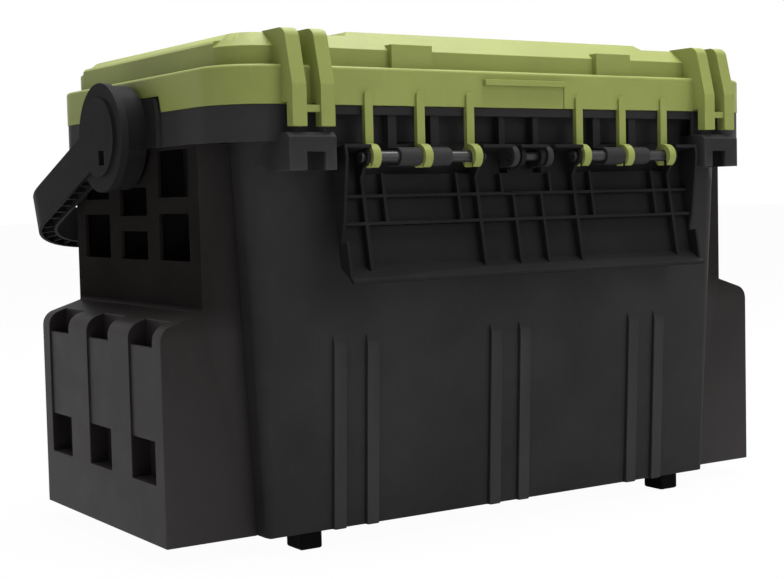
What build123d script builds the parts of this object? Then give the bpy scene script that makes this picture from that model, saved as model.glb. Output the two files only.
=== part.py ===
"""Tackle box: a black tub with rod racks, a two-way green lid, buckle flaps and a bail handle."""
import os
from math import cos, hypot, radians, sin, tan

from build123d import *

# Millimetres. X runs along the box, -Y is the side with the released buckle, Z is up from the floor.

# Rim of the lid, which sets the size of the box
rim_length = 465.0
rim_width = 295.0
rim_corner = 39.0

# Tub
foot_height = 12.0
tub_height = 281.5
base_setback_x = 36.0
base_setback_y = 28.0
base_corner = 5.0
draft_angle = 2.8
wall = 3.0
tub_floor = 3.5
flange_thick = 4.0
skirt_height = 23.5
long_side_skirt = 6.0
long_side_setback = 2.0
rib_pair_pitch = 130.0
rib_pair_gap = 26.0
rib_width = 9.6
rib_rise = 3.0
rib_height = 131.5
rib_ramp = 7.0

# Feet, set in from the edges of the tub's floor
foot_length = 16.5
foot_width = 19.5
foot_inset_x = 34.0
foot_inset_y = 12.8
foot_chamfer = 1.0

# Lid
rim_height = 25.0
rim_overhang = 0.5
rim_round = 2.5
step_inset = 11.0
step_height = 12.5
crown_slope = 52.0
crown_height = 9.5
panel_rise = 3.5
panel_setback = 88.5
end_wall_rise = 4.7
end_wall_depth = 12.0
end_wall_chamfer = 2.0
lid_wall = 3.0
locator_drop = 6.0
locator_width = 150.0
locator_gap = 1.2
overlap = 1.0

# Hinge line on each long side
rod_out = 3.0
rod_drop = 33.5
rod_diameter = 8.0
rod_overrun = 9.0
outer_hook_inset = 24.6
inner_hook = 48.3
hook_width = 6.4
hook_diameter = 17.0
hook_gap = 0.3
arm_out = 2.0
arm_thick = 4.0
arm_rise = 9.6
knuckle_diameter = 12.5
knuckle_length = 17.0
side_gap = 0.5
shelf_top_drop = 25.0
shelf_depth = 12.0
shelf_setback = 1.5
cheek_width = 7.0
lug_spread = 30.0
lug_width = 5.0
lug_diameter = 15.0
pin_diameter = 6.5
running_gap = 0.08

# Buckle flap, in its own plane: u runs from the rod to the lip, w from the skin to the ribbed side
flap_gap = 6.85
hang_lean = 10.0
latch_swing = 175.0
flap_back = 13.0
skin_thick = 2.2
flap_heel = 6.5
flap_brow = 8.8
brow_run = 2.0
flap_rib = 2.2
ear_thick = 2.6
ear_gap = 0.8
ear_diameter = 13.0
first_rib = 24.8
second_rib = 43.0
rib_edge = 5.7
jog_reach = 55.5
jog_run = 2.0
jog_edge = 2.0
lip_reach = 7.1
lip_run = 12.2
lip_edge = 1.0
slot_reach = 9.5
slot_gap = 1.0
cheek_spread = 17.0
cheek_thick = 4.0
cheek_diameter = 14.0
short_rib_offset = 30.0
middle_long_rib = 12.3
middle_short_rib = 21.5

# Latch blocks on the lid and the tabs that hook over them
block_width = 33.0
block_inset = 7.0
block_height = 16.2
block_depth = 10.0
tab_margin = 0.5
tab_gap = 0.5
tab_bite = 2.0
tab_thick = 2.0

# Lid finger ledge
ledge_length = 72.0
ledge_out = 3.5
ledge_thick = 4.0
ledge_level = 15.0
recess_depth = 0.9

# Corner fingers of the lid and corner blocks of the tub
finger_setback = 55.0
finger_pitch = 20.7
finger_width = 10.4
finger_out = 12.6
finger_drop = 14.5
finger_leg = 7.6
finger_knee = 12.0
finger_lean = 9.0
finger_top = 48.0
finger_round = 8.0
finger_bar = 4.5
finger_bar_drop = 5.5
corner_block_shift = 1.3
corner_block_width = 34.5
corner_block_height = 24.0
corner_block_drop = 18.0
corner_block_chamfer = 3.0
strap_notch_shift = 1.0
strap_notch_width = 13.7
strap_notch_height = 11.7

# Rod racks on the ends
rack_side_inset = 15.0
rack_step = 30.0
rack_step_height = 150.0
rack_shoulder_rise = 9.5
rack_shoulder_round = 11.0
rack_wall = 3.0
socket_margin = 13.5
socket_gap = 34.75
socket_setback = 16.5
socket_floor = 39.5
socket_plate_drop = 21.5
socket_plate_recess = 1.2
socket_window_height = 28.0
window_margin = 16.0
window_gap = 19.5
window_base = 32.6
window_short = 19.3
window_bar = 11.0
window_top_bar = 2.0

# Handle and its hubs
hub_drop = 14.7
hub_diameter = 75.0
boss_diameter = 72.0
boss_length = 13.5
boss_gap = 2.0
plate_thick = 3.5
plate_top_width = 95.0
plate_flare = 3.0
plate_rise = 9.5
plate_corner = 4.0
notch_gap = 1.2
pivot_diameter = 14.0
pivot_grip = 4.0
hub_gap = 0.5
hub_thick = 5.5
hub_face_rise = 2.0
hub_face_diameter = 54.0
lock_width = 9.0
lock_height = 10.0
lock_depth = 4.0
lock_drop = 14.0
lock_offset = 6.5
handle_fold = 20.5
grip_clearance = 22.0
grip_channel = 14.0
handle_corner = 60.0
arm_channel = 14.0
handle_depth = 29.0
handle_offset = 2.0
handle_wall = 2.4
handle_web = 3.0
ladder_rib = 1.8
ladder_pitch = 13.0
ladder_sink = 1.0
corner_ribs = 6

# Places worked out from the sizes above
seat_z = foot_height + tub_height
rim_y = rim_width / 2
base_length = rim_length - 2 * base_setback_x
base_width = rim_width - 2 * base_setback_y
rod_y = rim_y + rod_out
rod_z = seat_z - rod_drop
hub_z = seat_z - hub_drop
skirt_z = seat_z - skirt_height
skirt_x = rim_length / 2 - rim_overhang
skirt_y = rim_y - rim_overhang
skirt_corner = rim_corner - rim_overhang
draft = tan(radians(draft_angle))
rod_radius = rod_diameter / 2
hook_radius = hook_diameter / 2
finger_centre = rim_length / 2 - finger_setback
block_centre = finger_centre + corner_block_shift
flap_half = block_centre - corner_block_width / 2 - flap_gap
outer_hook = flap_half - outer_hook_inset
hook_group = (outer_hook + inner_hook) / 2
hook_pitch = (outer_hook - inner_hook) / 2
rod_length = 2 * (hook_pitch + rod_overrun)
hook_places = [side * (hook_group + step * hook_pitch) for side in (-1, 1) for step in (-1, 0, 1)]
boss_x = skirt_x + plate_thick + boss_length
handle_x = boss_x + hub_gap + hub_thick + hub_face_rise
handle_reach = rim_y + grip_clearance + grip_channel
lid_step_z = seat_z + rim_height
lid_crown_z = lid_step_z + step_height


def wall_y(z):
    """Half width of the tub's drafted long wall at height z."""
    return base_width / 2 + (z - foot_height) * draft


def wall_x(z):
    """Half length of the tub's drafted end wall at height z."""
    return base_length / 2 + (z - foot_height) * draft


def on_side(side, near, far):
    """Limits in rising order for near and far distances from the middle, on side -1 or 1."""
    return tuple(sorted((side * near, side * far)))


def span_box(x_span, y_span, z_span, mode=Mode.ADD):
    """A box given by its low and high limit on each axis."""
    spans = (x_span, y_span, z_span)
    with Locations(tuple((low + high) / 2 for low, high in spans)):
        Box(*(high - low for low, high in spans), mode=mode)


def outline_prism(plane, points, amount, mode=Mode.ADD, both=False):
    """A closed outline of straight sides, extruded from its plane."""
    with BuildSketch(plane) as outline:
        with BuildLine():
            Polyline(*points, close=True)
        make_face()
    extrude(outline.sketch, amount=amount, both=both, mode=mode)


def x_prism(points, x_span, mode=Mode.ADD):
    """An outline in Y and Z, extruded between two X limits."""
    outline_prism(Plane.YZ.offset(x_span[0]), points, x_span[1] - x_span[0], mode)


def x_cylinder(diameter, x_span, y, z, mode=Mode.ADD):
    """A round bar or bore along X."""
    with BuildSketch(Plane.YZ.offset(x_span[0])) as disc:
        with Locations((y, z)):
            Circle(diameter / 2)
    extrude(disc.sketch, amount=x_span[1] - x_span[0], mode=mode)


def rounded_slab(length, width, corner, z, height, taper=0.0, mode=Mode.ADD):
    """A slab with rounded corners in plan, standing on height z."""
    with BuildSketch(Plane.XY.offset(z)) as plan:
        RectangleRounded(length, width, corner)
    extrude(plan.sketch, amount=height, taper=taper, mode=mode)


def drafted_bin(inset, z_low, mode=Mode.ADD):
    """The tub's drafted body, drawn in by inset, from z_low to the rim."""
    corner = base_corner - inset + (z_low - foot_height) * draft
    rounded_slab(
        2 * (wall_x(z_low) - inset), 2 * (wall_y(z_low) - inset), corner,
        z_low, seat_z - z_low, -draft_angle, mode,
    )


# Hinge brackets and corner blocks of one long side, mirrored to the other
shelf_z = seat_z - shelf_top_drop
shelf_y = rod_y - hook_radius - shelf_setback
knuckle_inner = hook_width / 2 + side_gap
cheek_place = knuckle_inner + knuckle_length - cheek_width / 2
corner_block_z = seat_z - corner_block_drop
lug_radius = lug_diameter / 2
finger_y = rim_y + finger_out

with BuildPart() as brackets:
    for group in (-hook_group, hook_group):
        reach = knuckle_inner + knuckle_length
        span_box(
            (group - reach, group + reach),
            (-shelf_y, -wall_y(shelf_z) + wall / 2),
            (shelf_z - shelf_depth, shelf_z),
        )
        for side in (-1, 1):
            middle = group + side * (knuckle_inner + knuckle_length / 2)
            limits = (middle - knuckle_length / 2, middle + knuckle_length / 2)
            x_cylinder(knuckle_diameter, limits, -rod_y, rod_z)
            span_box(
                limits,
                (-rod_y, -shelf_y),
                (rod_z - knuckle_diameter / 2, rod_z + knuckle_diameter / 2),
            )
            cheek = group + side * cheek_place
            span_box(
                (cheek - cheek_width / 2, cheek + cheek_width / 2),
                (-shelf_y, -wall_y(shelf_z) + wall / 2),
                (shelf_z, seat_z - flange_thick),
            )
        x_cylinder(rod_diameter, (group - reach, group + reach), -rod_y, rod_z, Mode.SUBTRACT)
    for side in (-1, 1):
        lug = side * lug_spread / 2
        limits = (lug - lug_width / 2, lug + lug_width / 2)
        x_cylinder(lug_diameter, limits, -rod_y, rod_z)
        x_prism(
            [
                (-rod_y, rod_z - lug_radius),
                (-wall_y(rod_z) + wall / 2, rod_z - lug_radius),
                (-wall_y(shelf_z) + wall / 2, seat_z - flange_thick),
                (-shelf_y, seat_z - flange_thick),
                (-shelf_y, rod_z + lug_radius),
                (-rod_y, rod_z + lug_radius),
            ],
            limits,
        )
        x_cylinder(pin_diameter, limits, -rod_y, rod_z, Mode.SUBTRACT)
        middle = side * block_centre
        limits = (middle - corner_block_width / 2, middle + corner_block_width / 2)
        low_z = corner_block_z - corner_block_height
        front_y = -finger_y
        x_prism(
            [
                (front_y, low_z),
                (-wall_y(low_z) + wall / 2, low_z),
                (-wall_y(low_z) + wall / 2, corner_block_z),
                (front_y + corner_block_chamfer, corner_block_z),
                (front_y, corner_block_z - corner_block_chamfer),
            ],
            limits,
        )
        span_box(
            (limits[0] + wall, limits[1] - wall),
            (front_y + wall, -wall_y(low_z) - wall / 2),
            (low_z, corner_block_z - corner_block_chamfer - wall),
            Mode.SUBTRACT,
        )
        notch = side * (finger_centre - strap_notch_shift)
        span_box(
            (notch - strap_notch_width / 2, notch + strap_notch_width / 2),
            (front_y, front_y + wall),
            (low_z, low_z + strap_notch_height),
            Mode.SUBTRACT,
        )
    mirror(about=Plane.XZ)

# Raised ribs on the long walls
rib_top = foot_height + rib_height
with BuildPart() as wall_ribs:
    for pair in (-rib_pair_pitch, 0, rib_pair_pitch):
        for side in (-1, 1):
            rib_x = pair + side * rib_pair_gap / 2
            x_prism(
                [
                    (-wall_y(foot_height) - rib_rise, foot_height),
                    (-wall_y(rib_top - rib_ramp) - rib_rise, rib_top - rib_ramp),
                    (-wall_y(rib_top), rib_top),
                    (-wall_y(rib_top) + wall / 2, rib_top),
                    (-wall_y(foot_height) + wall / 2, foot_height),
                ],
                (rib_x - rib_width / 2, rib_x + rib_width / 2),
            )
    mirror(about=Plane.XZ)

with BuildPart() as tub:
    drafted_bin(0, foot_height)
    rounded_slab(2 * skirt_x, 2 * skirt_y, skirt_corner, skirt_z, skirt_height)
    flange_z = seat_z - flange_thick
    with BuildSketch(Plane.XY.offset(skirt_z)) as under_flange:
        RectangleRounded(2 * (skirt_x - wall), 2 * (skirt_y - wall), skirt_corner - wall)
        with BuildSketch(mode=Mode.PRIVATE) as bin_section:
            corner = base_corner + (flange_z - foot_height) * draft
            RectangleRounded(2 * wall_x(flange_z), 2 * wall_y(flange_z), corner)
        add(bin_section.sketch, mode=Mode.SUBTRACT)
    extrude(amount=flange_z - skirt_z, mode=Mode.SUBTRACT)
    # Between the corner blocks the skirt is shallow and set back, so that the lid's arms pass
    skirt_gap = 2 * block_centre - corner_block_width
    for side in (-1, 1):
        span_box(
            (-skirt_gap / 2, skirt_gap / 2),
            on_side(side, wall_y(seat_z), rim_y),
            (skirt_z, seat_z - long_side_skirt),
            Mode.SUBTRACT,
        )
        span_box(
            (-skirt_gap / 2, skirt_gap / 2),
            on_side(side, skirt_y - long_side_setback, rim_y),
            (skirt_z, seat_z),
            Mode.SUBTRACT,
        )
    add(wall_ribs.part)
    add(brackets.part)
    drafted_bin(wall, foot_height + tub_floor, Mode.SUBTRACT)
tub.part.label = "tub"

# Feet
feet = {}
for front, y_side in (("front", -1), ("rear", 1)):
    for hand, x_side in (("left", -1), ("right", 1)):
        with BuildPart() as foot:
            with BuildSketch(Plane.XY):
                spot_x = base_length / 2 - foot_inset_x
                spot_y = base_width / 2 - foot_inset_y
                with Locations((x_side * spot_x, y_side * spot_y)):
                    Rectangle(foot_length, foot_width)
            extrude(amount=foot_height)
            chamfer(edges().group_by(Axis.Z)[0], foot_chamfer)
        foot.part.label = f"foot_{front}_{hand}"
        feet[foot.part.label] = foot.part

# Rod rack: end frame above, stepped box of sockets below
rack_low = foot_height
rack_ledge = foot_height + rack_step_height
rack_out = skirt_x + rack_step
rack_width = base_width - 2 * rack_side_inset
socket_width = (rack_width - 2 * socket_margin - 2 * socket_gap) / 3
socket_pitch = socket_width + socket_gap
socket_low = rack_low + socket_floor
window_width = (rack_width - 2 * window_margin - 2 * window_gap) / 3
window_pitch = window_width + window_gap
window_low = rack_ledge + window_base
window_tall = (skirt_z - window_top_bar - window_low - window_bar) / 2


def rack(hand):
    """One end rack, built on the +X end and mirrored to the other hand."""
    inside = wall_x(rack_low) - wall
    plate_out = rack_out - socket_plate_recess
    plate_in = plate_out - rack_wall
    socket_back = skirt_x + socket_setback
    with BuildPart() as body:
        with BuildSketch(Plane.XZ):
            with BuildLine():
                Polyline(
                    (inside, rack_low),
                    (rack_out, rack_low),
                    (rack_out, rack_ledge - rack_shoulder_rise),
                    (skirt_x, rack_ledge),
                    (skirt_x, skirt_z),
                    (inside, skirt_z),
                    close=True,
                )
            make_face()
            fillet(vertices().group_by(Axis.X)[-1].sort_by(Axis.Y)[-1], rack_shoulder_round)
        extrude(amount=rack_width / 2, both=True)
        # Hollow columns beside and between the sockets, open below
        column_top = rack_ledge - rack_shoulder_rise - rack_shoulder_round
        half_socket = socket_width / 2 + rack_wall
        column_edges = [
            (-rack_width / 2 + rack_wall, -socket_pitch - half_socket),
            (-socket_pitch + half_socket, -half_socket),
            (half_socket, socket_pitch - half_socket),
            (socket_pitch + half_socket, rack_width / 2 - rack_wall),
        ]
        for edges_y in column_edges:
            span_box((inside, rack_out - rack_wall), edges_y, (rack_low, column_top), Mode.SUBTRACT)
        # Sockets open at the top, each with a window at its foot and a lower front plate
        for place in (-socket_pitch, 0, socket_pitch):
            limits = (place - socket_width / 2, place + socket_width / 2)
            span_box((socket_back, plate_in), limits, (socket_low, rack_ledge), Mode.SUBTRACT)
            span_box((plate_out, rack_out), limits, (socket_low, rack_ledge), Mode.SUBTRACT)
            plate_top = rack_ledge - socket_plate_drop
            span_box((plate_in, rack_out), limits, (plate_top, rack_ledge), Mode.SUBTRACT)
            window_top = socket_low + socket_window_height
            span_box((plate_in, rack_out), limits, (socket_low, window_top), Mode.SUBTRACT)
            span_box((inside, socket_back - rack_wall), limits, (rack_low, column_top), Mode.SUBTRACT)
            below_socket = (rack_low, socket_low - rack_wall)
            span_box((inside, rack_out - rack_wall), limits, below_socket, Mode.SUBTRACT)
        # Cells of the end frame behind its windows
        cell = window_pitch / 2
        cell_edges = [
            (-rack_width / 2 + rack_wall, -cell - rack_wall / 2),
            (-cell + rack_wall / 2, cell - rack_wall / 2),
            (cell + rack_wall / 2, rack_width / 2 - rack_wall),
        ]
        cell_levels = (rack_ledge + rack_wall, skirt_z)
        for edges_y in cell_edges:
            span_box((inside, skirt_x - rack_wall), edges_y, cell_levels, Mode.SUBTRACT)
        columns = ((-window_pitch, window_tall), (0, window_short), (window_pitch, window_tall))
        for place, tall in columns:
            for level in (window_low, window_low + tall + window_bar):
                span_box(
                    (skirt_x - rack_wall, skirt_x),
                    (place - window_width / 2, place + window_width / 2),
                    (level, level + tall),
                    Mode.SUBTRACT,
                )
        drafted_bin(0, foot_height, Mode.SUBTRACT)
        if hand == "left":
            mirror(about=Plane.YZ, mode=Mode.REPLACE)
    body.part.label = f"rod_rack_{hand}"
    return body.part


# Hook arms of one long side of the lid, round at the top
arm_top = seat_z + arm_rise
arm_back = rim_y + arm_out - arm_thick
with BuildPart() as hooks:
    for place in hook_places:
        limits = (place - hook_width / 2, place + hook_width / 2)
        low, high = rod_z, arm_top - hook_width / 2
        with BuildSketch(Plane.XZ.offset(arm_back)) as arm:
            with Locations((place, (low + high) / 2)):
                Rectangle(hook_width, high - low)
            with Locations((place, high)):
                Circle(hook_width / 2)
        extrude(arm.sketch, amount=arm_thick)
        x_cylinder(hook_diameter, limits, -rod_y, rod_z)
        bore = rod_radius + hook_gap
        x_cylinder(2 * bore, limits, -rod_y, rod_z, Mode.SUBTRACT)
        span_box(limits, (-rod_y - bore, -rod_y + bore), (rod_z - hook_diameter, rod_z), Mode.SUBTRACT)
    mirror(about=Plane.XZ)

# Corner fingers, latch blocks and finger ledge of one long side of the lid
finger_low = seat_z - finger_drop
finger_high = seat_z + finger_top
step_y = rim_y - step_inset
slope_run = tan(radians(crown_slope))
latch_y = rim_y - block_inset
crown_edge = step_y - (finger_high - lid_crown_z) * slope_run
with BuildPart() as lid_side:
    for side in (-1, 1):
        for half in (-1, 1):
            middle = side * finger_centre + half * finger_pitch / 2
            with BuildSketch(Plane.YZ.offset(middle - finger_width / 2)) as finger:
                with BuildLine() as path:
                    FilletPolyline(
                        (-finger_y, finger_low),
                        (-finger_y, seat_z + finger_knee),
                        (-finger_y + finger_lean, finger_high),
                        (-crown_edge + overlap, finger_high),
                        radius=finger_round,
                    )
                    Polyline(
                        (-crown_edge + overlap, finger_high),
                        (-step_y + overlap, lid_crown_z - overlap),
                        (-step_y + overlap, lid_step_z - overlap),
                        (-rim_y + overlap, lid_step_z - overlap),
                        (-rim_y + overlap, seat_z + overlap),
                        (-finger_y + finger_leg, seat_z + overlap),
                        (-finger_y + finger_leg, finger_low),
                        (-finger_y, finger_low),
                    )
                make_face(path.edges())
            extrude(finger.sketch, amount=finger_width)
        bar_y = -finger_y + (finger_leg - finger_bar) / 2
        span_box(
            (side * finger_centre - finger_pitch / 2, side * finger_centre + finger_pitch / 2),
            (bar_y, bar_y + finger_bar),
            (seat_z - finger_bar_drop, seat_z - finger_bar_drop + finger_bar),
        )
        middle = side * hook_group
        span_box(
            (middle - block_width / 2, middle + block_width / 2),
            (-latch_y, -latch_y + block_depth),
            (lid_step_z - overlap, lid_step_z + block_height),
        )
    span_box(
        (-ledge_length / 2, ledge_length / 2),
        (-rim_y - ledge_out, -rim_y + overlap),
        (seat_z + ledge_level, seat_z + ledge_level + ledge_thick),
    )
    mirror(about=Plane.XZ)

plate_z = seat_z + plate_rise
step_length = rim_length - 2 * step_inset
step_width = rim_width - 2 * step_inset
step_corner = rim_corner - step_inset
with BuildPart() as lid:
    rounded_slab(rim_length, rim_width, rim_corner, seat_z, rim_height)
    fillet(edges().group_by(Axis.Z)[-1], rim_round)
    rounded_slab(step_length, step_width, step_corner, lid_step_z - overlap, step_height + overlap)
    rounded_slab(step_length, step_width, step_corner, lid_crown_z, crown_height, crown_slope)
    with BuildSketch(Plane.XY.offset(lid_crown_z)):
        Rectangle(rim_length - 2 * panel_setback, step_width)
    extrude(amount=crown_height + panel_rise, taper=crown_slope)
    # The end walls stand above the step of the long sides
    for side in (-1, 1):
        end_x = side * step_length / 2
        end_high = lid_crown_z + end_wall_rise
        outline_prism(
            Plane.XZ,
            [
                (end_x, lid_crown_z - overlap),
                (end_x, end_high - end_wall_chamfer),
                (end_x - side * end_wall_chamfer, end_high),
                (end_x - side * end_wall_depth, end_high),
                (end_x - side * end_wall_depth, lid_crown_z - overlap),
            ],
            step_width / 2 - step_corner,
            both=True,
        )
    # Hollow underside
    rounded_slab(
        rim_length - 2 * lid_wall, rim_width - 2 * lid_wall, rim_corner - lid_wall,
        seat_z, rim_height - lid_wall, mode=Mode.SUBTRACT,
    )
    rounded_slab(
        step_length - 2 * lid_wall, step_width - 2 * lid_wall, step_corner - lid_wall,
        seat_z, rim_height + step_height - lid_wall, mode=Mode.SUBTRACT,
    )
    rounded_slab(
        step_length - 2 * lid_wall, step_width - 2 * lid_wall, step_corner - lid_wall,
        lid_crown_z - lid_wall, crown_height, crown_slope, Mode.SUBTRACT,
    )
    # Shallow recess under each finger ledge
    for side in (-1, 1):
        span_box(
            (-ledge_length / 2, ledge_length / 2),
            on_side(side, rim_y - recess_depth, rim_y),
            (seat_z, seat_z + ledge_level),
            Mode.SUBTRACT,
        )
    add(hooks.part)
    add(lid_side.part)
    # Locating ribs inside the two ends, and notches for the handle brackets
    locator_x = wall_x(seat_z) - wall - locator_gap
    for side in (-1, 1):
        span_box(
            on_side(side, locator_x - lid_wall, locator_x),
            (-locator_width / 2, locator_width / 2),
            (seat_z - locator_drop, lid_crown_z + crown_height - lid_wall / 2),
        )
        half_top = plate_top_width / 2 + notch_gap
        half_low = half_top + plate_flare + plate_flare * notch_gap / plate_rise
        outline_prism(
            Plane.YZ.offset(side * (skirt_x - lid_wall - wall)),
            [
                (-half_low, seat_z),
                (half_low, seat_z),
                (half_top, plate_z + notch_gap),
                (-half_top, plate_z + notch_gap),
            ],
            side * (2 * lid_wall + wall + plate_thick),
            Mode.SUBTRACT,
        )
lid.part.label = "lid"


# Where the latched flap meets the front edge of a latch block's top. Turns are counted from +Y, so that
# 270 degrees hangs straight down
latch_rise = lid_step_z + block_height - rod_z
latch_radius = hypot(rod_y - latch_y, latch_rise)
latch_turn = radians(270 - hang_lean - latch_swing)
block_edge = (rod_y - latch_y) * sin(latch_turn) - latch_rise * cos(latch_turn)
flap_reach = latch_radius + lip_reach


def buckle(name, swing):
    """A buckle flap on the -Y rods, swung up from its hanging pose by swing degrees."""
    turn = radians(270 - hang_lean - swing)
    along = (0, cos(turn), sin(turn))
    hinge = Plane(origin=(0, -rod_y, rod_z), x_dir=along, z_dir=(-1, 0, 0))
    ring_out = outer_hook + hook_width / 2 + ear_gap
    ring_in = inner_hook - hook_width / 2 - ear_gap
    slot_in = lug_spread / 2 - lug_width / 2 - slot_gap
    slot_out = lug_spread / 2 + lug_width / 2 + slot_gap
    ears = ((ring_out, ring_out + ear_thick), (ring_in - ear_thick, ring_in))

    def slice_at(points, x_low, x_high, mode=Mode.ADD):
        outline_prism(hinge.offset(-x_high), points, x_high - x_low, mode)

    def bar(u_span, w_span, x_low, x_high, mode=Mode.ADD):
        (u_low, u_high), (w_low, w_high) = u_span, w_span
        corners = [(u_low, w_low), (u_high, w_low), (u_high, w_high), (u_low, w_high)]
        slice_at(corners, x_low, x_high, mode)

    def bore_at(diameter, x_low, x_high, mode=Mode.SUBTRACT):
        with BuildSketch(hinge.offset(-x_high)) as disc:
            Circle(diameter / 2)
        extrude(disc.sketch, amount=x_high - x_low, mode=mode)

    def rib_at(place):
        return place - flap_rib / 2, place + flap_rib / 2

    # The lip leans out from the end of the skin, and the long ribs end on it
    skin_face = -flap_back + skin_thick
    crease = flap_reach - lip_run
    rib_levels = (-flap_back, -rib_edge)
    lip_pitch = lip_run / (flap_back + lip_edge)
    rib_foot = crease + (flap_back - rib_edge) * lip_pitch
    side_foot = crease + (flap_back - jog_edge) * lip_pitch
    lip_outline = [
        (crease - skin_thick / 2, -flap_back),
        (flap_reach, lip_edge - skin_thick),
        (flap_reach, lip_edge),
        (flap_reach - skin_thick, lip_edge),
        (crease, skin_face),
        (crease - skin_thick, skin_face),
    ]
    side_outline = [
        (-flap_heel, -flap_back),
        (-flap_heel, flap_brow),
        (brow_run, flap_brow),
        (second_rib, -rib_edge + jog_edge),
        (jog_reach - jog_run, skin_face + skin_thick),
        (jog_reach, skin_face + skin_thick),
        (jog_reach, -jog_edge),
        (side_foot, -jog_edge),
        (crease, -flap_back),
    ]
    ear_outline = [
        (-flap_heel, -flap_back),
        (-flap_heel, 0),
        (ear_diameter / 2, 0),
        (2 * flap_heel, -rib_edge),
        (rib_foot, -rib_edge),
        (crease, -flap_back),
    ]
    long_rib_outline = [
        (first_rib, -flap_back),
        (first_rib, -rib_edge),
        (rib_foot, -rib_edge),
        (crease, -flap_back),
    ]
    with BuildPart() as flap:
        bar((-flap_heel, crease), (-flap_back, skin_face), -flap_half, flap_half)
        slice_at(lip_outline, -flap_half, flap_half)
        bar((-flap_heel, -flap_heel + skin_thick), (-flap_back, flap_brow), -flap_half, flap_half)
        for level in (first_rib, second_rib):
            bar(rib_at(level), rib_levels, -flap_half, flap_half)
        # Windows in the top wall and skin round the hooks, knuckles and middle lugs
        for side in (-1, 1):
            for near, far in ((ring_in, ring_out), (slot_in, slot_out)):
                limits = on_side(side, near, far)
                bar((-flap_heel, slot_reach), (-flap_back, flap_brow), *limits, Mode.SUBTRACT)
        for side in (-1, 1):
            slice_at(side_outline, *on_side(side, flap_half - skin_thick, flap_half))
            for near, far in ears:
                limits = on_side(side, near, far)
                slice_at(ear_outline, *limits)
                bore_at(ear_diameter, *limits, Mode.ADD)
                bore_at(rod_diameter + 2 * running_gap, *limits)
            for step in (-1, 1):
                limits = rib_at(side * (hook_group + step * short_rib_offset))
                bar((slot_reach, second_rib), rib_levels, *limits)
            bar((slot_reach + slot_gap, first_rib), rib_levels, *rib_at(side * middle_short_rib))
            slice_at(long_rib_outline, *rib_at(side * middle_long_rib))
            # Cheeks between the middle lugs, on the middle pin
            cheek = side * cheek_spread / 2
            limits = (cheek - cheek_thick / 2, cheek + cheek_thick / 2)
            bore_at(cheek_diameter, *limits, Mode.ADD)
            bar((-cheek_diameter / 2, cheek_diameter / 2), (-flap_back, 0), *limits)
            bore_at(pin_diameter + 2 * running_gap, *limits)
            # Tab that hooks over the lid's latch block
            tab_low = latch_radius + tab_gap
            tab_edge = block_edge + tab_bite
            tab_foot = crease + (tab_low - crease) / 2
            slice_at(
                [
                    (tab_low, tab_edge),
                    (tab_low + tab_thick, tab_edge),
                    (flap_reach - skin_thick / 2, lip_edge - skin_thick / 2),
                    (tab_foot, -flap_back + (tab_foot - crease + skin_thick / 2) / lip_pitch),
                    (tab_low, -flap_back + (tab_low - crease) / lip_pitch),
                ],
                side * hook_group - block_width / 2 + tab_margin,
                side * hook_group + block_width / 2 - tab_margin,
            )
        if name == "rear_buckle":
            mirror(about=Plane.XZ, mode=Mode.REPLACE)
    flap.part.label = name
    return flap.part


# Rods and middle pins
rods = {}
for front, y_side in (("front", -1), ("rear", 1)):
    for hand, x_side in (("left", -1), ("right", 1)):
        with BuildPart() as rod:
            middle = x_side * hook_group
            x_cylinder(
                rod_diameter, (middle - rod_length / 2, middle + rod_length / 2), y_side * rod_y, rod_z
            )
        rod.part.label = f"{front}_rod_{hand}"
        rods[rod.part.label] = rod.part
    with BuildPart() as pin:
        reach = (lug_spread + lug_width) / 2
        x_cylinder(pin_diameter, (-reach, reach), y_side * rod_y, rod_z)
    pin.part.label = f"{front}_centre_pin"
    rods[pin.part.label] = pin.part


def handle_bracket(hand):
    """A round boss on a back plate, and the pivot pin inside it."""
    with BuildPart() as bracket:
        half_top = plate_top_width / 2
        half_low = half_top + plate_flare
        with BuildSketch(Plane.YZ.offset(skirt_x)) as plate:
            with BuildLine():
                Polyline(
                    (-half_low, seat_z),
                    (-half_low, skirt_z),
                    (half_low, skirt_z),
                    (half_low, seat_z),
                    (half_top, plate_z),
                    (-half_top, plate_z),
                    close=True,
                )
            make_face()
            fillet(vertices().group_by(Axis.Y)[-1], plate_corner)
        extrude(plate.sketch, amount=plate_thick)
        x_cylinder(boss_diameter, (skirt_x + plate_thick, boss_x), 0, hub_z)
        x_cylinder(pivot_diameter, (skirt_x, boss_x), 0, hub_z, Mode.SUBTRACT)
        if hand == "left":
            mirror(about=Plane.YZ, mode=Mode.REPLACE)
    bracket.part.label = f"handle_bracket_{hand}"
    with BuildPart() as pivot:
        x_cylinder(pivot_diameter, (skirt_x, boss_x + hub_gap + pivot_grip), 0, hub_z)
        if hand == "left":
            mirror(about=Plane.YZ, mode=Mode.REPLACE)
    pivot.part.label = f"handle_pivot_{hand}"
    return bracket.part, pivot.part


# Handle: drawn flat in the plane of its arms, s from the pivot to the grip, then laid to its folded pose
fold = radians(-handle_fold)
arm_dir = (0, cos(fold), sin(fold))
open_dir = (0, sin(fold), -cos(fold))
flat = Plane(origin=(0, 0, hub_z), x_dir=(1, 0, 0), z_dir=open_dir)
# The flat plane's own y axis runs from the grip to the pivot, so distances to the grip are negative
near_face = handle_offset - handle_depth / 2
far_face = handle_offset + handle_depth / 2
disc_back = boss_x + hub_gap


def bail_outline(half, reach, corner, start):
    """Closed outline of a bail: two straight arms, round corners and a straight grip."""
    with BuildLine() as path:
        FilletPolyline((-half, -start), (-half, -reach), (half, -reach), (half, -start), radius=corner)
        Line((-half, -start), (half, -start))
    make_face(path.edges())


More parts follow.
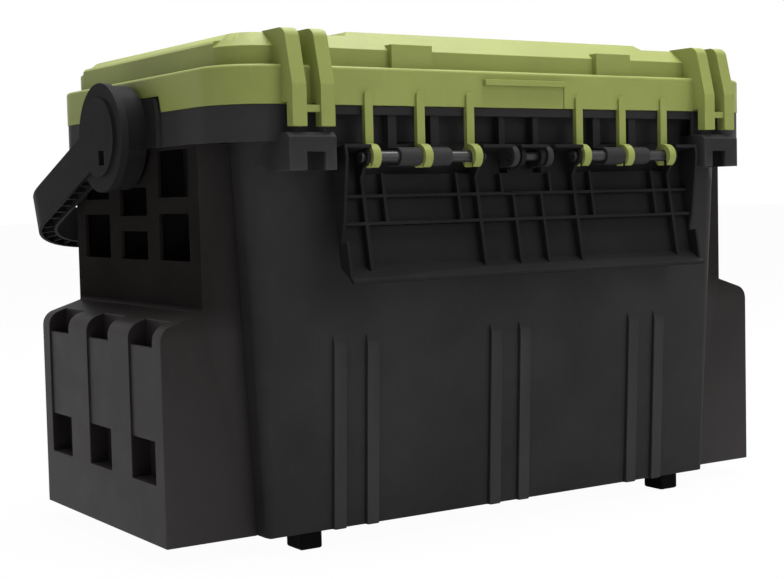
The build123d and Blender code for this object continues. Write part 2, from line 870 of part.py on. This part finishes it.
def bail_band(out, reach, corner, width_arm, width_grip, start):
    """The bail between an outer outline and an inner one."""
    bail_outline(out, reach, corner, start)
    with BuildSketch(mode=Mode.PRIVATE) as inner:
        bail_outline(out - width_arm, reach - width_grip, corner - width_arm, start)
    add(inner.sketch, mode=Mode.SUBTRACT)


boss_clear = boss_diameter / 2 + boss_gap
with BuildPart() as handle:
    with BuildSketch(flat.offset(near_face)):
        bail_band(handle_x, handle_reach, handle_corner, arm_channel, grip_channel, boss_clear)
    extrude(amount=handle_depth)
    with BuildSketch(flat.offset(near_face + handle_web)):
        bail_band(
            handle_x - handle_wall,
            handle_reach - handle_wall,
            handle_corner - handle_wall,
            arm_channel - 2 * handle_wall,
            grip_channel - 2 * handle_wall,
            boss_clear + handle_wall,
        )
    extrude(amount=handle_depth, mode=Mode.SUBTRACT)
    # Ladder ribs across the open channel
    rib_plane = flat.offset(near_face + handle_web / 2)
    rib_depth = handle_depth - handle_web / 2 - ladder_sink
    arm_run = handle_reach - handle_corner - boss_clear
    arm_ribs = int(arm_run // ladder_pitch)
    grip_run = 2 * (handle_x - handle_corner)
    grip_ribs = int(grip_run // ladder_pitch)
    with BuildSketch(rib_plane):
        for side in (-1, 1):
            arm_middle = side * (handle_x - arm_channel / 2)
            for count in range(1, arm_ribs + 1):
                with Locations((arm_middle, -boss_clear - count * ladder_pitch)):
                    Rectangle(arm_channel - handle_wall, ladder_rib)
            pivot_point = (side * (handle_x - handle_corner), -handle_reach + handle_corner)
            for count in range(1, corner_ribs + 1):
                angle = 90 * count / (corner_ribs + 1)
                reach = handle_corner - (arm_channel + grip_channel) / 4
                spot = (
                    pivot_point[0] + side * reach * cos(radians(angle)),
                    pivot_point[1] - reach * sin(radians(angle)),
                )
                with Locations(Location(spot, -side * angle)):
                    Rectangle(arm_channel - handle_wall, ladder_rib)
        for count in range(grip_ribs + 1):
            spot = ((count - grip_ribs / 2) * ladder_pitch, -handle_reach + grip_channel / 2)
            with Locations(spot):
                Rectangle(ladder_rib, grip_channel - handle_wall)
    extrude(amount=rib_depth)
    # Hub discs and the roots of the arms
    for side in (-1, 1):
        disc_front = handle_x - hub_face_rise
        limits = on_side(side, disc_back, disc_front)
        x_cylinder(hub_diameter, limits, 0, hub_z)
        limits = on_side(side, disc_back, handle_x)
        x_cylinder(hub_face_diameter, limits, 0, hub_z)
        hub_side = Plane(origin=(limits[0], 0, hub_z), x_dir=arm_dir, z_dir=(1, 0, 0))
        # The y axis of this plane points away from the open side of the channel
        root_end = boss_clear + handle_wall
        outline_prism(
            hub_side,
            [
                (0, -near_face),
                (root_end, -near_face),
                (root_end, -far_face),
                (0, -far_face),
            ],
            limits[1] - limits[0],
        )
        # Lock pocket in the face of the hub
        span_box(
            on_side(side, handle_x - lock_depth, handle_x),
            (-lock_offset - lock_width / 2, -lock_offset + lock_width / 2),
            (hub_z - lock_drop - lock_height / 2, hub_z - lock_drop + lock_height / 2),
            Mode.SUBTRACT,
        )
        pocket = on_side(side, disc_back, disc_back + pivot_grip + hub_gap)
        x_cylinder(pivot_diameter + 2 * running_gap, pocket, 0, hub_z, Mode.SUBTRACT)
handle.part.label = "handle"

# Write every piece to its own file
pieces = [tub.part, lid.part, handle.part, *feet.values(), *rods.values()]
pieces += [buckle("front_buckle", 0.0), buckle("rear_buckle", latch_swing)]
for hand in ("left", "right"):
    pieces.append(rack(hand))
    pieces += handle_bracket(hand)
os.makedirs("parts", exist_ok=True)
# The origin is the middle of the whole footprint, folded handle and hanging buckle included
footprint = Compound(pieces).bounding_box()
centred = Location((0, -footprint.center().Y, 0))
for piece in pieces:
    export_step(piece.moved(centred), f"parts/{piece.label}.step")
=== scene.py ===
"""Looks for a tackle box: moulded finishes on every piece, a pale stage and a camera."""
from math import radians

import bpy
from mathutils import Euler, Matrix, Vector


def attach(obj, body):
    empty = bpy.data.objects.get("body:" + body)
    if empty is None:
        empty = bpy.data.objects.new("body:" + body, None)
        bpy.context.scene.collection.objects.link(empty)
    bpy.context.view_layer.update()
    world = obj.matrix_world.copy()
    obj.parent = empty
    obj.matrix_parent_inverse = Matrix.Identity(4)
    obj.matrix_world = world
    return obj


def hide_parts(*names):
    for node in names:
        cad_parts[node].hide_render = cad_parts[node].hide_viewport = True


bl_info = {
    "name": "Tackle Box Looks",
    "version": (1, 0, 0),
    "blender": (4, 5, 0),
    "location": "View3D > Sidebar > Tackle Box",
    "description": "Rounds the moulded edges of a tackle box and gives each piece its plastic",
    "category": "Object",
}

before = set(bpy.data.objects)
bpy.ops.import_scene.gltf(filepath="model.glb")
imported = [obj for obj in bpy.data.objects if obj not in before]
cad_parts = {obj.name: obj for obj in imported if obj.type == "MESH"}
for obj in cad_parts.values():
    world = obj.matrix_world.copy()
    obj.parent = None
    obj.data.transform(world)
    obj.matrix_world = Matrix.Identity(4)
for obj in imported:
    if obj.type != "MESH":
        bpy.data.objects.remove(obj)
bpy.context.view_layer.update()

white = (1.0, 1.0, 1.0, 1.0)

# Sockets of a Mix node that mixes colours
mix_factor = 0
mix_under = 6
mix_over = 7
mix_result = 2


class PlasticFinish(bpy.types.PropertyGroup):
    """Colours and surface of the mouldings."""

    lid_green: bpy.props.FloatVectorProperty(
        name="Lid green", description="Colour of the lid's plastic", subtype="COLOR",
        size=3, min=0.0, max=1.0, default=(0.235, 0.265, 0.075),
    )
    body_black: bpy.props.FloatVectorProperty(
        name="Body black", description="Colour of the tub's plastic", subtype="COLOR",
        size=3, min=0.0, max=1.0, default=(0.0280, 0.0280, 0.0282),
    )
    rack_black: bpy.props.FloatVectorProperty(
        name="Rack black", description="Colour of the end racks, a little warmer", subtype="COLOR",
        size=3, min=0.0, max=1.0, default=(0.0160, 0.0138, 0.0134),
    )
    handle_black: bpy.props.FloatVectorProperty(
        name="Handle black", description="Colour of the handle and its brackets", subtype="COLOR",
        size=3, min=0.0, max=1.0, default=(0.0160, 0.0160, 0.0164),
    )
    # Darker than the tub's black: painted shade for the shade under the lid's edge, over the flaps' own
    # black plastic.
    shaded_buckle_black: bpy.props.FloatVectorProperty(
        name="Buckle black", description="Colour of the buckle flaps", subtype="COLOR",
        size=3, min=0.0, max=1.0, default=(0.0130, 0.0130, 0.0133),
    )
    foot_black: bpy.props.FloatVectorProperty(
        name="Foot black", description="Colour of the rubber feet", subtype="COLOR",
        size=3, min=0.0, max=1.0, default=(0.0040, 0.0040, 0.0040),
    )
    rod_black: bpy.props.FloatVectorProperty(
        name="Rod black", description="Colour of the polished hinge rods", subtype="COLOR",
        size=3, min=0.0, max=1.0, default=(0.022, 0.022, 0.024),
    )
    grain_size: bpy.props.FloatProperty(
        name="Grain size", description="Spacing of the fine moulded grain", subtype="DISTANCE",
        unit="LENGTH", min=0.0001, default=0.0007,
    )
    rack_sheen_height: bpy.props.FloatProperty(
        name="Rack sheen height", description="Height above which the end racks lose their sheen",
        subtype="DISTANCE", unit="LENGTH", min=0.0, default=0.145,
    )
    edge_round: bpy.props.FloatProperty(
        name="Edge round", description="Radius on the edges of the large mouldings",
        subtype="DISTANCE", unit="LENGTH", min=0.0, default=0.0007,
    )
    lid_edge_round: bpy.props.FloatProperty(
        name="Lid edge round",
        description="Radius on the lid's edges, less than half its shallow recesses",
        subtype="DISTANCE", unit="LENGTH", min=0.0, default=0.0004,
    )
    thin_edge_round: bpy.props.FloatProperty(
        name="Thin edge round", description="Radius on the edges of thin ribs and small pieces",
        subtype="DISTANCE", unit="LENGTH", min=0.0, default=0.00035,
    )
    sharp_angle: bpy.props.FloatProperty(
        name="Sharp angle", description="Edges sharper than this are rounded, flatter ones look smooth",
        subtype="ANGLE", unit="ROTATION", min=0.0, default=radians(38),
    )
    flat_angle: bpy.props.FloatProperty(
        name="Flat angle", description="Facets that differ by less than this are merged into one flat",
        subtype="ANGLE", unit="ROTATION", min=0.0, default=radians(0.6),
    )
    merge_gap: bpy.props.FloatProperty(
        name="Merge gap", description="Corners of facets closer than this become one",
        subtype="DISTANCE", unit="LENGTH", min=0.0, default=0.00001,
    )


class StageSettings(bpy.types.PropertyGroup):
    """Camera, lamps and floor."""

    camera_place: bpy.props.FloatVectorProperty(
        name="Camera place", description="Where the camera stands", subtype="TRANSLATION",
        unit="LENGTH", size=3, default=(-0.65765, -0.981, 0.23173),
    )
    heading: bpy.props.FloatProperty(
        name="Heading", description="How far the camera is turned to the right of straight ahead",
        subtype="ANGLE", unit="ROTATION", default=radians(33.274),
    )
    pitch: bpy.props.FloatProperty(
        name="Pitch", description="How far the camera looks down", subtype="ANGLE",
        unit="ROTATION", default=radians(3.417),
    )
    roll: bpy.props.FloatProperty(
        name="Roll", description="How far the camera leans", subtype="ANGLE",
        unit="ROTATION", default=radians(1.313),
    )
    lens: bpy.props.FloatProperty(
        name="Lens", description="Focal length of the camera, in millimetres", min=1.0, default=68.92,
    )
    sensor: bpy.props.FloatProperty(
        name="Sensor", description="Width of the camera's sensor, in millimetres", min=1.0, default=36.0,
    )
    top_place: bpy.props.FloatVectorProperty(
        name="Top lamp place", description="Where the wide lamp hangs overhead", subtype="TRANSLATION",
        unit="LENGTH", size=3, default=(0.2, 0.0, 1.7),
    )
    top_size: bpy.props.FloatProperty(
        name="Top lamp size", description="Width of the lamp overhead", subtype="DISTANCE",
        unit="LENGTH", min=0.0, default=1.6,
    )
    top_power: bpy.props.FloatProperty(
        name="Top lamp", description="Power of the wide lamp overhead, in watts", min=0.0, default=60.0,
    )
    key_place: bpy.props.FloatVectorProperty(
        name="Key lamp place", description="Where the lamp beside the camera stands",
        subtype="TRANSLATION", unit="LENGTH", size=3, default=(0.5, -1.9, 0.9),
    )
    key_size: bpy.props.FloatProperty(
        name="Key lamp size", description="Width of the lamp beside the camera", subtype="DISTANCE",
        unit="LENGTH", min=0.0, default=1.2,
    )
    key_power: bpy.props.FloatProperty(
        name="Key lamp", description="Power of the lamp beside the camera, in watts",
        min=0.0, default=9.5,
    )
    side_place: bpy.props.FloatVectorProperty(
        name="Side lamp place", description="Where the lamp off the left end stands",
        subtype="TRANSLATION", unit="LENGTH", size=3, default=(-1.8, -0.3, 0.8),
    )
    side_size: bpy.props.FloatProperty(
        name="Side lamp size", description="Width of the lamp off the left end", subtype="DISTANCE",
        unit="LENGTH", min=0.0, default=1.0,
    )
    side_power: bpy.props.FloatProperty(
        name="Side lamp", description="Power of the lamp off the left end, in watts",
        min=0.0, default=1.2,
    )
    room_light: bpy.props.FloatProperty(
        name="Room light", description="Level of the even light from all round", min=0.0, default=0.22,
    )
    floor_size: bpy.props.FloatProperty(
        name="Floor size", description="Width of the floor", subtype="DISTANCE",
        unit="LENGTH", min=0.0, default=40.0,
    )
    floor_drop: bpy.props.FloatProperty(
        name="Floor drop", description="How far the floor lies below the feet", subtype="DISTANCE",
        unit="LENGTH", min=0.0, default=0.0002,
    )
    floor_grey: bpy.props.FloatProperty(
        name="Floor grey", description="Paleness of the floor for the light that it throws back",
        min=0.0, max=1.0, default=0.82,
    )
    floor_white: bpy.props.FloatProperty(
        name="Floor white", description="Share of plain white in the floor, as the camera sees it",
        min=0.0, max=1.0, default=0.97,
    )


def finish_settings():
    return bpy.context.scene.tackle_finish


def stage_settings():
    return bpy.context.scene.tackle_stage


def link(tree, source, target):
    tree.links.new(source, target)


def noise(tree, place, scale, detail, roughness=0.5):
    """The level of a noise texture on the given coordinates."""
    texture = tree.nodes.new("ShaderNodeTexNoise")
    texture.inputs["Scale"].default_value = scale
    texture.inputs["Detail"].default_value = detail
    texture.inputs["Roughness"].default_value = roughness
    link(tree, place, texture.inputs["Vector"])
    return texture.outputs["Fac"]


def remap(tree, level, before, after):
    """A level carried from its span before to the span after."""
    change = tree.nodes.new("ShaderNodeMapRange")
    for end, value in zip(("From Min", "From Max", "To Min", "To Max"), (*before, *after)):
        change.inputs[end].default_value = value
    link(tree, level, change.inputs["Value"])
    return change.outputs["Result"]


def lay_over(tree, factor, under, colour):
    """A plain colour laid over the one under it by factor."""
    mix = tree.nodes.new("ShaderNodeMix")
    mix.data_type = "RGBA"
    mix.inputs[mix_over].default_value = (*colour, 1.0)
    link(tree, factor, mix.inputs[mix_factor])
    link(tree, under, mix.inputs[mix_under])
    return mix.outputs[mix_result]


def paler(colour, gain, lift):
    """A colour made paler, and no brighter than white."""
    return [min(1.0, channel * gain + lift) for channel in colour]


def flow_marks(tree, place, colour, mottle, scale=14.0, span=(0.30, 0.70)):
    """The plastic's colour, clouded by the way that it flowed into the mould."""
    tone = tree.nodes.new("ShaderNodeValToRGB")
    for stop, position, gain in zip(tone.color_ramp.elements, span, (1.0 - mottle, 1.0 + mottle)):
        stop.position = position
        stop.color = (*[channel * gain for channel in colour], 1.0)
    link(tree, noise(tree, place, scale, detail=4.0, roughness=0.6), tone.inputs["Fac"])
    return tone.outputs["Color"]


def handling_scuffs(tree, place, under, colour, scuff, stretch=(260.0, 22.0, 60.0), span=(0.60, 0.82)):
    """Fine pale streaks across the plastic."""
    streaks = tree.nodes.new("ShaderNodeMapping")
    streaks.inputs["Rotation"].default_value = (0.3, 0.5, 0.7)
    streaks.inputs["Scale"].default_value = stretch
    link(tree, place, streaks.inputs["Vector"])
    marks = noise(tree, streaks.outputs["Vector"], scale=1.0, detail=5.0)
    worn = remap(tree, marks, span, (0.0, scuff))
    return lay_over(tree, worn, under, paler(colour, gain=1.3, lift=0.05))


def painted_edge_highlights(tree, under, colour, edge_highlight, span=(0.53, 0.62)):
    """Rounded edges painted paler, a painted highlight where light would catch them."""
    shape = tree.nodes.new("ShaderNodeNewGeometry")
    # Painted highlight: the more pointed an edge, the paler its colour.
    highlighted = remap(tree, shape.outputs["Pointiness"], span, (0.0, edge_highlight))
    return lay_over(tree, highlighted, under, paler(colour, gain=1.6, lift=0.06))


def uneven_gloss(tree, place, roughness, scale=55.0, spread=0.07):
    """Roughness that wanders a little over the surface."""
    patches = noise(tree, place, scale, detail=3.0)
    return remap(tree, patches, (0.0, 1.0), (roughness - spread, roughness + spread))


def fine_grain(tree, place, depth, strength=0.5):
    """The fine grain of the mould's surface."""
    relief = tree.nodes.new("ShaderNodeBump")
    relief.inputs["Strength"].default_value = strength
    relief.inputs["Distance"].default_value = depth
    grain = noise(tree, place, 1.0 / finish_settings().grain_size, detail=2.0)
    link(tree, grain, relief.inputs["Height"])
    return relief.outputs["Normal"]


def fading_sheen(tree, place, height, run=0.02, full=0.5):
    """Sheen that ends above a height."""
    parts = tree.nodes.new("ShaderNodeSeparateXYZ")
    link(tree, place, parts.inputs["Vector"])
    return remap(tree, parts.outputs["Z"], (height, height + run), (full, 0.0))


def moulded_plastic(name, colour, roughness, grain_depth=0.00006, mottle=0.16, scuff=0.10, ior=1.08,
                    dull_above=None, edge_highlight=0.6):
    """A moulded plastic with fine grain, faint flow marks, light handling scuffs and painted highlights
    on its edges.
    """
    material = bpy.data.materials.get(name)
    if material:
        return material
    material = bpy.data.materials.new(name)
    material.use_nodes = True
    tree = material.node_tree
    shader = tree.nodes["Principled BSDF"]
    shader.inputs["IOR"].default_value = ior
    place = tree.nodes.new("ShaderNodeTexCoord").outputs["Object"]
    tone = flow_marks(tree, place, colour, mottle)
    tone = handling_scuffs(tree, place, tone, colour, scuff)
    # Painted highlights on the rounded edges.
    tone = painted_edge_highlights(tree, tone, colour, edge_highlight)
    link(tree, tone, shader.inputs["Base Color"])
    link(tree, uneven_gloss(tree, place, roughness), shader.inputs["Roughness"])
    link(tree, fine_grain(tree, place, grain_depth), shader.inputs["Normal"])
    if dull_above:
        link(tree, fading_sheen(tree, place, dull_above), shader.inputs["Specular IOR Level"])
    return material


def moulded_copy(node, body, material, edge, merge_flats=False):
    """A merged copy of a CAD node with its moulded edges rounded, standing for that node."""
    finish = finish_settings()
    piece = bpy.data.objects.new(f"{node}_moulding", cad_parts[node].data.copy())
    bpy.context.scene.collection.objects.link(piece)
    bpy.ops.object.select_all(action="DESELECT")
    piece.select_set(True)
    bpy.context.view_layer.objects.active = piece
    bpy.ops.mesh.customdata_custom_splitnormals_clear()
    bpy.ops.object.mode_set(mode="EDIT")
    bpy.ops.mesh.select_all(action="SELECT")
    bpy.ops.mesh.remove_doubles(threshold=finish.merge_gap)
    if merge_flats:
        bpy.ops.mesh.dissolve_limited(angle_limit=finish.flat_angle)
    bpy.ops.object.mode_set(mode="OBJECT")
    rounding = piece.modifiers.new("edge_rounding", "BEVEL")
    rounding.width = edge
    rounding.segments = 2
    rounding.limit_method = "ANGLE"
    rounding.angle_limit = finish.sharp_angle
    rounding.use_clamp_overlap = False
    rounding.miter_outer = "MITER_ARC"
    rounding.face_strength_mode = "FSTR_ALL"
    bpy.ops.object.modifier_apply(modifier=rounding.name)
    bpy.ops.object.shade_smooth_by_angle(angle=finish.sharp_angle)
    levelling = piece.modifiers.new("flat_face_normals", "WEIGHTED_NORMAL")
    levelling.keep_sharp = True
    levelling.use_face_influence = True
    levelling.weight = 60
    bpy.ops.object.modifier_apply(modifier=levelling.name)
    piece.data.materials.clear()
    piece.data.materials.append(material)
    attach(piece, body)
    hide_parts(node)
    return piece


class TACKLE_OT_tub(bpy.types.Operator):
    """Give the tub and its feet their moulded edges and black plastic"""

    bl_idname = "tackle.tub"
    bl_label = "Tub and feet"

    def execute(self, context):
        finish = finish_settings()
        body = moulded_plastic("tub_black", finish.body_black, roughness=0.42)
        moulded_copy("tub", "case", body, finish.edge_round)
        rubber = moulded_plastic("foot_rubber", finish.foot_black, roughness=0.7, edge_highlight=0.0)
        for end in ("front", "rear"):
            for hand in ("left", "right"):
                foot = moulded_copy(f"foot_{end}_{hand}", "case", rubber, finish.edge_round)
        return {"FINISHED"}


class TACKLE_OT_rod_racks(bpy.types.Operator):
    """Finish the rod racks on both ends"""

    bl_idname = "tackle.rod_racks"
    bl_label = "Rod racks"

    def execute(self, context):
        finish = finish_settings()
        warm = moulded_plastic(
            "rack_black", finish.rack_black, roughness=0.46, ior=1.2,
            dull_above=finish.rack_sheen_height,
        )
        for hand in ("left", "right"):
            rack = moulded_copy(f"rod_rack_{hand}", "case", warm, finish.edge_round)
        return {"FINISHED"}


class TACKLE_OT_lid(bpy.types.Operator):
    """Finish the green lid with its hooks and fingers"""

    bl_idname = "tackle.lid"
    bl_label = "Lid"

    def execute(self, context):
        finish = finish_settings()
        green = moulded_plastic(
            "lid_green", finish.lid_green, roughness=0.45, mottle=0.07, scuff=0.16, ior=1.2,
            edge_highlight=0.0,
        )
        lid = moulded_copy("lid", "lid", green, finish.lid_edge_round, merge_flats=True)
        return {"FINISHED"}


class TACKLE_OT_buckles(bpy.types.Operator):
    """Finish the two ribbed buckle flaps"""

    bl_idname = "tackle.buckles"
    bl_label = "Buckles"

    def execute(self, context):
        finish = finish_settings()
        # The flaps' black is partly painted shade from the lid above.
        satin = moulded_plastic("shaded_buckle_black", finish.shaded_buckle_black, roughness=0.36, edge_highlight=0.1)
        for name in ("front_buckle", "rear_buckle"):
            moulded_copy(name, name, satin, finish.thin_edge_round)
        return {"FINISHED"}


class TACKLE_OT_hinge_rods(bpy.types.Operator):
    """Finish the hinge rods and the short middle pins"""

    bl_idname = "tackle.hinge_rods"
    bl_label = "Hinge rods"

    def execute(self, context):
        finish = finish_settings()
        polished = moulded_plastic(
            "rod_black", finish.rod_black, roughness=0.24, grain_depth=0.00002, ior=1.35,
        )
        for end in ("front", "rear"):
            for name in (f"{end}_rod_left", f"{end}_rod_right", f"{end}_centre_pin"):
                moulded_copy(name, "case", polished, finish.thin_edge_round)
        return {"FINISHED"}


class TACKLE_OT_handle(bpy.types.Operator):
    """Finish the bail handle, its brackets and pivots"""

    bl_idname = "tackle.handle"
    bl_label = "Handle"

    def execute(self, context):
        finish = finish_settings()
        satin = moulded_plastic(
            "handle_black", finish.handle_black, roughness=0.38, ior=1.05, edge_highlight=0.8,
        )
        moulded_copy("handle", "handle", satin, finish.thin_edge_round)
        for hand in ("left", "right"):
            bracket = moulded_copy(f"handle_bracket_{hand}", "case", satin, finish.edge_round)
            pivot = moulded_copy(f"handle_pivot_{hand}", "case", satin, finish.thin_edge_round)
        return {"FINISHED"}


def white_to_the_eye(tree):
    """A factor that is one for rays from the camera, reflections and clear materials."""
    path = tree.nodes.new("ShaderNodeLightPath")
    factor = path.outputs["Is Camera Ray"]
    for kind in ("Is Glossy Ray", "Is Transmission Ray"):
        either = tree.nodes.new("ShaderNodeMath")
        either.operation = "MAXIMUM"
        link(tree, factor, either.inputs[0])
        link(tree, path.outputs[kind], either.inputs[1])
        factor = either.outputs[0]
    return factor


def blend_shaders(tree, factor, first, second):
    """One shader turning into another by factor."""
    blend = tree.nodes.new("ShaderNodeMixShader")
    link(tree, factor, blend.inputs["Fac"])
    link(tree, first, blend.inputs[1])
    link(tree, second, blend.inputs[2])
    return blend.outputs[0]


def floor_finish(settings):
    """A floor that looks nearly white and throws light back as a pale grey."""
    material = bpy.data.materials.new("pale_floor")
    material.use_nodes = True
    tree = material.node_tree
    tree.nodes.clear()
    output = tree.nodes.new("ShaderNodeOutputMaterial")
    matt = tree.nodes.new("ShaderNodeBsdfDiffuse")
    matt.inputs["Color"].default_value = (*[settings.floor_grey] * 3, 1.0)
    glow = tree.nodes.new("ShaderNodeEmission")
    glow.inputs["Color"].default_value = white
    glow.inputs["Strength"].default_value = 1.0
    share = tree.nodes.new("ShaderNodeMath")
    share.operation = "MULTIPLY"
    share.inputs[1].default_value = settings.floor_white
    link(tree, white_to_the_eye(tree), share.inputs[0])
    surface = blend_shaders(tree, share.outputs[0], matt.outputs[0], glow.outputs[0])
    link(tree, surface, output.inputs["Surface"])
    return material


def add_floor(settings):
    """The wide floor under the feet."""
    bpy.ops.object.select_all(action="DESELECT")
    bpy.ops.mesh.primitive_plane_add(
        size=settings.floor_size, location=(0.0, 0.0, -settings.floor_drop),
    )
    floor = bpy.context.object
    floor.name = "floor"
    bpy.ops.object.transform_apply(location=True, rotation=True, scale=True)
    floor.data.materials.append(floor_finish(settings))


def even_light(tree, strength):
    """White light of one strength from all round."""
    light = tree.nodes.new("ShaderNodeBackground")
    light.inputs["Color"].default_value = white
    light.inputs["Strength"].default_value = strength
    return light.outputs[0]


def add_room(settings):
    """A room that lights the box softly and looks plain white."""
    world = bpy.data.worlds.new("pale_room")
    bpy.context.scene.world = world
    world.use_nodes = True
    tree = world.node_tree
    tree.nodes.clear()
    output = tree.nodes.new("ShaderNodeOutputWorld")
    room = even_light(tree, settings.room_light)
    surface = blend_shaders(tree, white_to_the_eye(tree), room, even_light(tree, 1.0))
    link(tree, surface, output.inputs["Surface"])


def area_lamp(name, place, aim, size, power):
    """A square soft lamp that points at aim."""
    bpy.ops.object.select_all(action="DESELECT")
    bpy.ops.object.light_add(type="AREA", location=place)
    lamp = bpy.context.object
    lamp.name = name
    lamp.data.shape = "SQUARE"
    lamp.data.size = size
    lamp.data.energy = power
    lamp.rotation_euler = (Vector(aim) - Vector(place)).to_track_quat("-Z", "Y").to_euler()


def add_lamps(settings):
    """A wide lamp overhead, one beside the camera and a weak one off the left end."""
    lid_middle = (0.0, 0.0, 0.3)
    tub_middle = (0.0, 0.0, 0.2)
    left_rack = (-0.2, 0.0, 0.2)
    area_lamp("top_lamp", settings.top_place, lid_middle, settings.top_size, settings.top_power)
    area_lamp("key_lamp", settings.key_place, tub_middle, settings.key_size, settings.key_power)
    area_lamp("side_lamp", settings.side_place, left_rack, settings.side_size, settings.side_power)


def add_camera(settings):
    """The camera, placed and turned as for the photograph."""
    bpy.ops.object.select_all(action="DESELECT")
    bpy.ops.object.camera_add(location=settings.camera_place)
    camera = bpy.context.object
    camera.name = "photo_camera"
    camera.data.sensor_width = settings.sensor
    camera.data.lens = settings.lens
    camera.data.clip_start = 0.01
    turn = Euler((radians(90) - settings.pitch, 0.0, -settings.heading), "XYZ").to_matrix()
    lean = Euler((0.0, 0.0, -settings.roll)).to_matrix()
    camera.rotation_euler = (turn @ lean).to_euler()
    bpy.context.scene.camera = camera


class TACKLE_OT_stage(bpy.types.Operator):
    """Set the floor, lamps, room light and camera"""

    bl_idname = "tackle.stage"
    bl_label = "Stage"

    def execute(self, context):
        settings = stage_settings()
        context.scene.view_settings.view_transform = "Standard"
        add_floor(settings)
        add_room(settings)
        add_lamps(settings)
        add_camera(settings)
        return {"FINISHED"}


class TACKLE_PT_looks(bpy.types.Panel):
    """Lists the finishing steps in order"""

    bl_label = "Tackle Box"
    bl_idname = "TACKLE_PT_looks"
    bl_space_type = "VIEW_3D"
    bl_region_type = "UI"
    bl_category = "Tackle Box"

    def draw(self, context):
        layout = self.layout
        for settings in (context.scene.tackle_finish, context.scene.tackle_stage):
            for name in settings.__annotations__:
                layout.prop(settings, name)
        for operator in OPERATORS:
            layout.operator(operator.bl_idname)


OPERATORS = (
    TACKLE_OT_tub, TACKLE_OT_rod_racks, TACKLE_OT_lid, TACKLE_OT_buckles,
    TACKLE_OT_hinge_rods, TACKLE_OT_handle, TACKLE_OT_stage,
)
CLASSES = (PlasticFinish, StageSettings, *OPERATORS, TACKLE_PT_looks)


def register():
    for item in CLASSES:
        bpy.utils.register_class(item)
    bpy.types.Scene.tackle_finish = bpy.props.PointerProperty(type=PlasticFinish)
    bpy.types.Scene.tackle_stage = bpy.props.PointerProperty(type=StageSettings)


def unregister():
    del bpy.types.Scene.tackle_stage
    del bpy.types.Scene.tackle_finish
    for item in reversed(CLASSES):
        bpy.utils.unregister_class(item)


def main():
    register()
    bpy.ops.tackle.tub()
    bpy.ops.tackle.rod_racks()
    bpy.ops.tackle.lid()
    bpy.ops.tackle.buckles()
    bpy.ops.tackle.hinge_rods()
    bpy.ops.tackle.handle()
    bpy.ops.tackle.stage()


if __name__ == "__main__":
    main()
